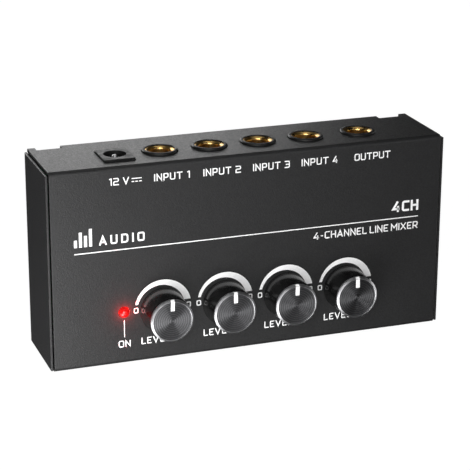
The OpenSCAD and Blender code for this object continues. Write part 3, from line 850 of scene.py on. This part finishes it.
# depths are from the skirt's foot
KNOB_SEGMENTS = 128
KNOB_TAPER = 0.4 * MM
KNOB_WALL = 1.0 * MM
SKIRT_DEPTH = 6.3 * MM
BORE_R = 3.03 * MM
BORE_DEPTH = 7.0 * MM
HUB_R = 4.4 * MM
HUB_SUNK = 0.8 * MM             # how far the hub stops short of the skirt's foot
CAP_BEVEL = 0.5 * MM
CAP_SUNK = 0.1 * MM             # how far the face lies below the bevel
RING_RELIEF = 0.03 * MM
RING_STEPS = 6                  # profile points for each turned ring


def knob_shell(i):
    """Glossy body with its skirt, hub and bore."""
    low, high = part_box(f"level_knob_{i}")
    spot = middle(f"level_knob_{i}")
    base = Vector((spot.x, high.y, spot.z))
    length = high.y - low.y
    r_base = (high.x - low.x) / 2
    r_face = r_base - KNOB_TAPER
    skirt = r_base - KNOB_WALL
    profile = [
        (0, BORE_DEPTH), (BORE_R, BORE_DEPTH), (BORE_R, HUB_SUNK), (HUB_R, HUB_SUNK),
        (HUB_R, SKIRT_DEPTH), (skirt, SKIRT_DEPTH), (skirt, 0), (r_base, 0, 0.18 * MM),
        (r_base, 0.5 * MM, 0.2 * MM), (r_base - 0.1 * MM, 0.75 * MM, 0.4 * MM),
        (r_face, length - 0.06 * MM, 0.1 * MM), (r_face - 0.12 * MM, length), (0, length),
    ]
    bm = bmesh.new()
    lathe(bm, base, rounded(profile), KNOB_SEGMENTS)
    add_piece(
        f"knob_{i}_shell", bm, [MATERIALS["knob_black"]], f"level_{i}",
        [f"level_knob_{i}"],
    )
    return base, length, r_face


def knob_cap(i, base, length, radius):
    """Metal cap: bright side and bevel, and a face with turned rings."""
    low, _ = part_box(f"level_knob_{i}_cap")
    top = base.y - low.y
    face = top - CAP_SUNK
    inner = radius - CAP_BEVEL - 0.18 * MM
    line = rounded([
        (0, length), (radius - 0.05 * MM, length), (radius, length + 0.05 * MM),
        (radius, top - CAP_BEVEL, 0.06 * MM), (radius - CAP_BEVEL, top, 0.06 * MM),
        (radius - CAP_BEVEL - 0.08 * MM, top), (inner, face),
    ])
    step = RING_PITCH * MM / RING_STEPS
    for k in range(1, int(inner / step)):
        wave = (math.cos(2 * math.pi * k / RING_STEPS) - 1) / 2
        line.append(Vector((inner - k * step, face + RING_RELIEF * wave)))
    line.append(Vector((0, face)))

    def finish_of(r, h):
        """0, the turned face, or 1, the bright ring round it."""
        return 0 if r < inner + 0.01 * MM and h > face - 0.2 * MM else 1

    bm = bmesh.new()
    lathe(bm, base, line, KNOB_SEGMENTS, finish_of, "spin")
    materials = [MATERIALS["cap_metal"], MATERIALS["cap_ring"]]
    add_piece(f"knob_{i}_cap", bm, materials, f"level_{i}", [f"level_knob_{i}_cap"])
    return top


def knob_pointer(i, base, top, radius):
    """White line let into the face, over the bevel to the rim."""
    low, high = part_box(f"level_knob_{i}_pointer")
    half = (high.x - low.x) / 2
    inner = low.z - base.z
    outer = radius - CAP_BEVEL
    face = top - CAP_SUNK
    proud = 0.03 * MM
    outline = [
        (inner, face - 0.2 * MM), (inner, face + proud), (outer - 0.2 * MM, face + proud),
        (outer - 0.05 * MM, top), (outer, top), (radius, top - CAP_BEVEL + proud),
        (radius, top - CAP_BEVEL - 0.25 * MM), (outer, top - 0.75 * MM),
    ]
    bm = bmesh.new()

    def place(u, v, depth):
        return Vector((base.x - half + depth, base.y - v, base.z + u))

    slab(bm, outline, place, 2 * half)
    add_piece(
        f"knob_{i}_pointer", bm, [MATERIALS["pointer_white"]], f"level_{i}",
        [f"level_knob_{i}_pointer"],
    )


def build_knobs():
    for i in range(1, CHANNELS + 1):
        base, length, radius = knob_shell(i)
        top = knob_cap(i, base, length, radius)
        knob_pointer(i, base, top, radius)


# ---------- lamp ----------

LAMP_R = 1.5 * MM
LAMP_FLANGE_R = 1.75 * MM
LAMP_FLANGE = 1.0 * MM
LAMP_GLOW = 0.009


def build_lamp():
    """Domed lens with its flange, and the light that it casts."""
    low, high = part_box("power_led")
    spot = middle("power_led")
    back = Vector((spot.x, high.y, spot.z))
    length = high.y - low.y
    profile = [(0, 0), (LAMP_FLANGE_R, 0), (LAMP_FLANGE_R, LAMP_FLANGE), (LAMP_R, LAMP_FLANGE)]
    steps = 14
    for k in range(steps + 1):
        a = math.pi / 2 * k / steps
        profile.append((LAMP_R * math.cos(a), length - LAMP_R + LAMP_R * math.sin(a)))
    bm = bmesh.new()
    lathe(bm, back, profile, 64)
    lens = add_piece("lamp_lens", bm, [MATERIALS["led_red"]], "root", ["power_led"])
    lens.visible_shadow = False
    # the lamp's own light on the panel round it
    data = bpy.data.lights.new("lamp_glow", "POINT")
    data.energy = LAMP_GLOW
    data.color = (1, 0.02, 0.015)
    data.shadow_soft_size = LAMP_R / 4
    glow = bpy.data.objects.new("lamp_glow", data)
    glow.location = (spot.x, (PANEL_Y + low.y) / 2, spot.z)
    glow.visible_camera = False
    glow.visible_glossy = False
    bpy.context.scene.collection.objects.link(glow)


# ---------- scene ----------

bpy.context.scene.view_settings.view_transform = "Standard"
add_camera()
add_stage()
add_world()
add_lights()
paint_cad_nodes()
build_knobs()
build_lamp()
print_labels()
print_title()
print_scales()
print_lamp()
